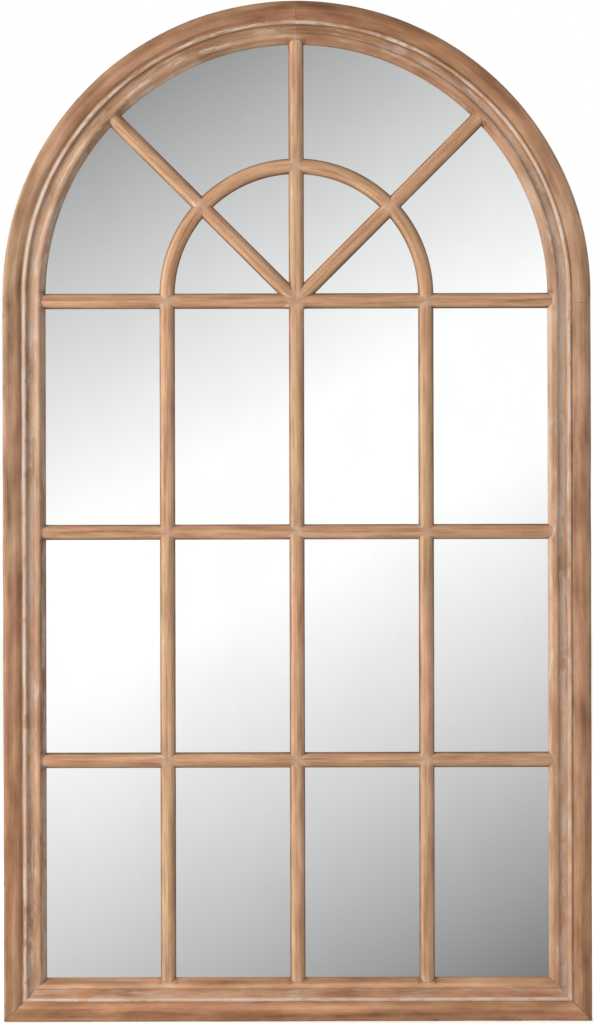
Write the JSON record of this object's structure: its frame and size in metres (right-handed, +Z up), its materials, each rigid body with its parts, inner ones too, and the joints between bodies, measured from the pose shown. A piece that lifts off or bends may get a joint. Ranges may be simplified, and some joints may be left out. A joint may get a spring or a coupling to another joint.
{
  "type": "arched window mirror",
  "caption": "Tall arched window-pane mirror: a limed wood moulding round one arched mirror sheet, with coped glazing bars, a small inner arch and fan spokes, hung on rings.",
  "frame": {"origin": "on the wall plane, at the centre of the arch, midway between the two hanging points at the tops of the raised rings' eyes", "axes": "+Z up along the longest side, -Y out of the mirror's face towards the viewer, +Y into the wall, +X to the viewer's right"},
  "size_m": [0.813, 0.036, 1.41],
  "materials": {
    "limed_wood": "light brown softwood, matt, with white lime left in the grooves and worn off the high edges",
    "bar_wood": "light brown softwood, matt, lightly limed, paler along the chamfers",
    "joiner_wood": "bare hardwood, hidden in the joints",
    "silvered_glass": "clear silvered mirror glass, polished",
    "fibre_board": "smooth brown fibre board, matt",
    "zinc_plate": "bright zinc plated steel, slightly dull",
    "screw_steel": "zinc plated pan-head screws",
    "bumper_rubber": "matt dark rubber"
  },
  "bodies": {
    "frame": {"left_stile": "limed_wood", "right_stile": "limed_wood", "bottom_rail": "limed_wood", "arch_left": "limed_wood", "arch_right": "limed_wood", "left_corner_spline": "joiner_wood", "right_corner_spline": "joiner_wood", "left_spring_tenon": "joiner_wood", "right_spring_tenon": "joiner_wood", "crown_tenon": "joiner_wood", "centre_mullion": "bar_wood", "left_mullion": "bar_wood", "right_mullion": "bar_wood", "spring_bar_far_left": "bar_wood", "spring_bar_mid_left": "bar_wood", "spring_bar_mid_right": "bar_wood", "spring_bar_far_right": "bar_wood", "upper_bar_far_left": "bar_wood", "upper_bar_mid_left": "bar_wood", "upper_bar_mid_right": "bar_wood", "upper_bar_far_right": "bar_wood", "lower_bar_far_left": "bar_wood", "lower_bar_mid_left": "bar_wood", "lower_bar_mid_right": "bar_wood", "lower_bar_far_right": "bar_wood", "inner_arch_left": "bar_wood", "inner_arch_right": "bar_wood", "spoke_left_inner": "bar_wood", "spoke_left_outer": "bar_wood", "spoke_right_inner": "bar_wood", "spoke_right_outer": "bar_wood", "mirror_glass": "silvered_glass", "backing_board": "fibre_board", "turn_button_left_arch_screw": "screw_steel", "turn_button_left_upper_screw": "screw_steel", "turn_button_left_lower_screw": "screw_steel", "turn_button_left_bottom_screw": "screw_steel", "turn_button_right_arch_screw": "screw_steel", "turn_button_right_upper_screw": "screw_steel", "turn_button_right_lower_screw": "screw_steel", "turn_button_right_bottom_screw": "screw_steel", "left_hanger_strap": "zinc_plate", "right_hanger_strap": "zinc_plate", "left_hanger_screw_upper": "screw_steel", "left_hanger_screw_lower": "screw_steel", "right_hanger_screw_upper": "screw_steel", "right_hanger_screw_lower": "screw_steel", "left_bumper": "bumper_rubber", "right_bumper": "bumper_rubber"},
    "turn_button_left_arch": {"turn_button_left_arch": "zinc_plate"},
    "turn_button_left_upper": {"turn_button_left_upper": "zinc_plate"},
    "turn_button_left_lower": {"turn_button_left_lower": "zinc_plate"},
    "turn_button_left_bottom": {"turn_button_left_bottom": "zinc_plate"},
    "turn_button_right_arch": {"turn_button_right_arch": "zinc_plate"},
    "turn_button_right_upper": {"turn_button_right_upper": "zinc_plate"},
    "turn_button_right_lower": {"turn_button_right_lower": "zinc_plate"},
    "turn_button_right_bottom": {"turn_button_right_bottom": "zinc_plate"},
    "left_hanger_ring": {"left_hanger_ring": "zinc_plate"},
    "right_hanger_ring": {"right_hanger_ring": "zinc_plate"}
  },
  "joints": [
    {"name": "turn_button_left_arch_swivel", "type": "hinge", "parent": "frame", "child": "turn_button_left_arch", "pos_m": [-0.25845, -0.006, 0.25845], "axis": [0, 1, 0], "continuous": true},
    {"name": "turn_button_left_upper_swivel", "type": "hinge", "parent": "frame", "child": "turn_button_left_upper", "pos_m": [-0.3655, -0.006, -0.23], "axis": [0, 1, 0], "continuous": true},
    {"name": "turn_button_left_lower_swivel", "type": "hinge", "parent": "frame", "child": "turn_button_left_lower", "pos_m": [-0.3655, -0.006, -0.72], "axis": [0, 1, 0], "continuous": true},
    {"name": "turn_button_left_bottom_swivel", "type": "hinge", "parent": "frame", "child": "turn_button_left_bottom", "pos_m": [-0.175, -0.006, -0.9625], "axis": [0, 1, 0], "continuous": true},
    {"name": "turn_button_right_arch_swivel", "type": "hinge", "parent": "frame", "child": "turn_button_right_arch", "pos_m": [0.25845, -0.006, 0.25845], "axis": [0, 1, 0], "continuous": true},
    {"name": "turn_button_right_upper_swivel", "type": "hinge", "parent": "frame", "child": "turn_button_right_upper", "pos_m": [0.3655, -0.006, -0.23], "axis": [0, 1, 0], "continuous": true},
    {"name": "turn_button_right_lower_swivel", "type": "hinge", "parent": "frame", "child": "turn_button_right_lower", "pos_m": [0.3655, -0.006, -0.72], "axis": [0, 1, 0], "continuous": true},
    {"name": "turn_button_right_bottom_swivel", "type": "hinge", "parent": "frame", "child": "turn_button_right_bottom", "pos_m": [0.175, -0.006, -0.9625], "axis": [0, 1, 0], "continuous": true},
    {"name": "left_hanger_ring_swing", "type": "hinge", "parent": "frame", "child": "left_hanger_ring", "pos_m": [-0.3825, -0.00325, -0.0175], "axis": [-1, 0, 0], "range_deg": [0, 179]},
    {"name": "right_hanger_ring_swing", "type": "hinge", "parent": "frame", "child": "right_hanger_ring", "pos_m": [0.3825, -0.00325, -0.0175], "axis": [-1, 0, 0], "range_deg": [0, 179]}
  ]
}
